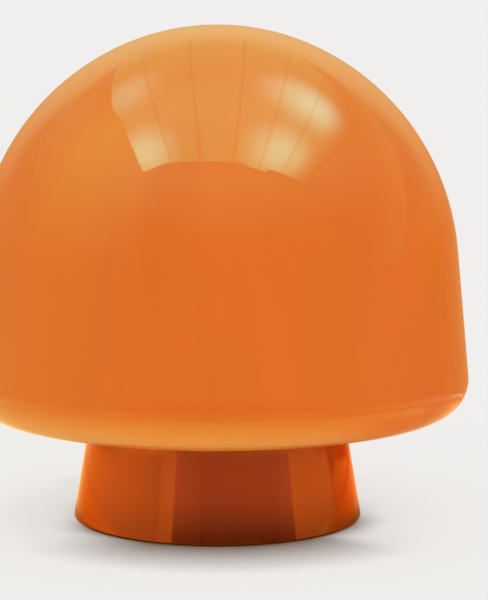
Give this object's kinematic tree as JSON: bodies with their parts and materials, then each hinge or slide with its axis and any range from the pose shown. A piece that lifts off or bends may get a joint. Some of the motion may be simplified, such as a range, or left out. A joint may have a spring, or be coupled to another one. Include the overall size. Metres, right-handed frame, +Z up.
{
  "type": "table lamp",
  "caption": "Mushroom table lamp: a blown opal glass dome lifts off a tapered lacquered steel base that holds a screw lamp holder and a clear filament bulb.",
  "frame": {"origin": "centre of the foot, on the table", "axes": "+Z up along the lamp's axis, +Y towards the back, where the cord enters"},
  "size_m": [0.3, 0.3, 0.2935],
  "materials": {
    "opal_glass": "polished orange opal glass",
    "silicone": "matt translucent silicone",
    "base_lacquer": "high-gloss orange lacquer",
    "grommet_rubber": "matt black",
    "felt": "pressed felt",
    "plate_coating": "fine powder coat",
    "screw_steel": "zinc plated",
    "cast_iron": "as cast",
    "holder_moulding": "moulded, satin gloss",
    "porcelain": "glazed porcelain",
    "contact_brass": "pressed sheet",
    "live_insulation": "smooth",
    "neutral_insulation": "smooth",
    "block_nylon": "moulded nylon",
    "solder": "dull solder",
    "black_glass": "fused black glass",
    "bulb_plating": "nickel plated",
    "bulb_clear": "clear",
    "filament_coating": "phosphor coating"
  },
  "bodies": {
    "base": {"seat_gasket": "silicone", "base_shell": "base_lacquer", "cord_grommet": "grommet_rubber", "felt_ring": "felt", "bottom_plate": "plate_coating", "plate_screws": "screw_steel", "ballast_ring": "cast_iron", "support_pillars": "screw_steel", "threaded_tube": "screw_steel", "tube_washer": "screw_steel", "tube_nut": "screw_steel", "holder_cap": "holder_moulding", "holder_skirt": "holder_moulding", "holder_core": "porcelain", "screw_shell": "contact_brass", "centre_contact": "contact_brass", "holder_terminals": "contact_brass", "holder_terminal_screws": "screw_steel", "live_lead": "live_insulation", "neutral_lead": "neutral_insulation", "terminal_block": "block_nylon", "terminal_screws": "screw_steel", "block_screw": "screw_steel"},
    "shade": {"shade_glass": "opal_glass"},
    "bulb_foot": {"bulb_tip": "solder", "bulb_insulator": "black_glass"},
    "bulb": {"bulb_cap": "bulb_plating", "bulb_glass": "bulb_clear", "bulb_stem": "bulb_clear", "bulb_filaments": "filament_coating", "bulb_supports": "bulb_plating"}
  },
  "joints": [
    {"name": "shade_lift", "type": "slide", "parent": "base", "child": "shade", "axis": [0, 0, 1], "range_m": [0, 0.18]},
    {"name": "bulb_rise", "type": "slide", "parent": "base", "child": "bulb_foot", "axis": [0, 0, 1], "range_m": [0, 0.01815]},
    {"name": "bulb_turn", "type": "hinge", "parent": "bulb_foot", "child": "bulb", "pos_m": [0, 0, 0.12], "axis": [0, 0, 1], "range_deg": [0, 1800]}
  ],
  "couplings": [
    {"joint": "bulb_rise", "follows": "bulb_turn", "m_per_rad": 0.00057757}
  ]
}
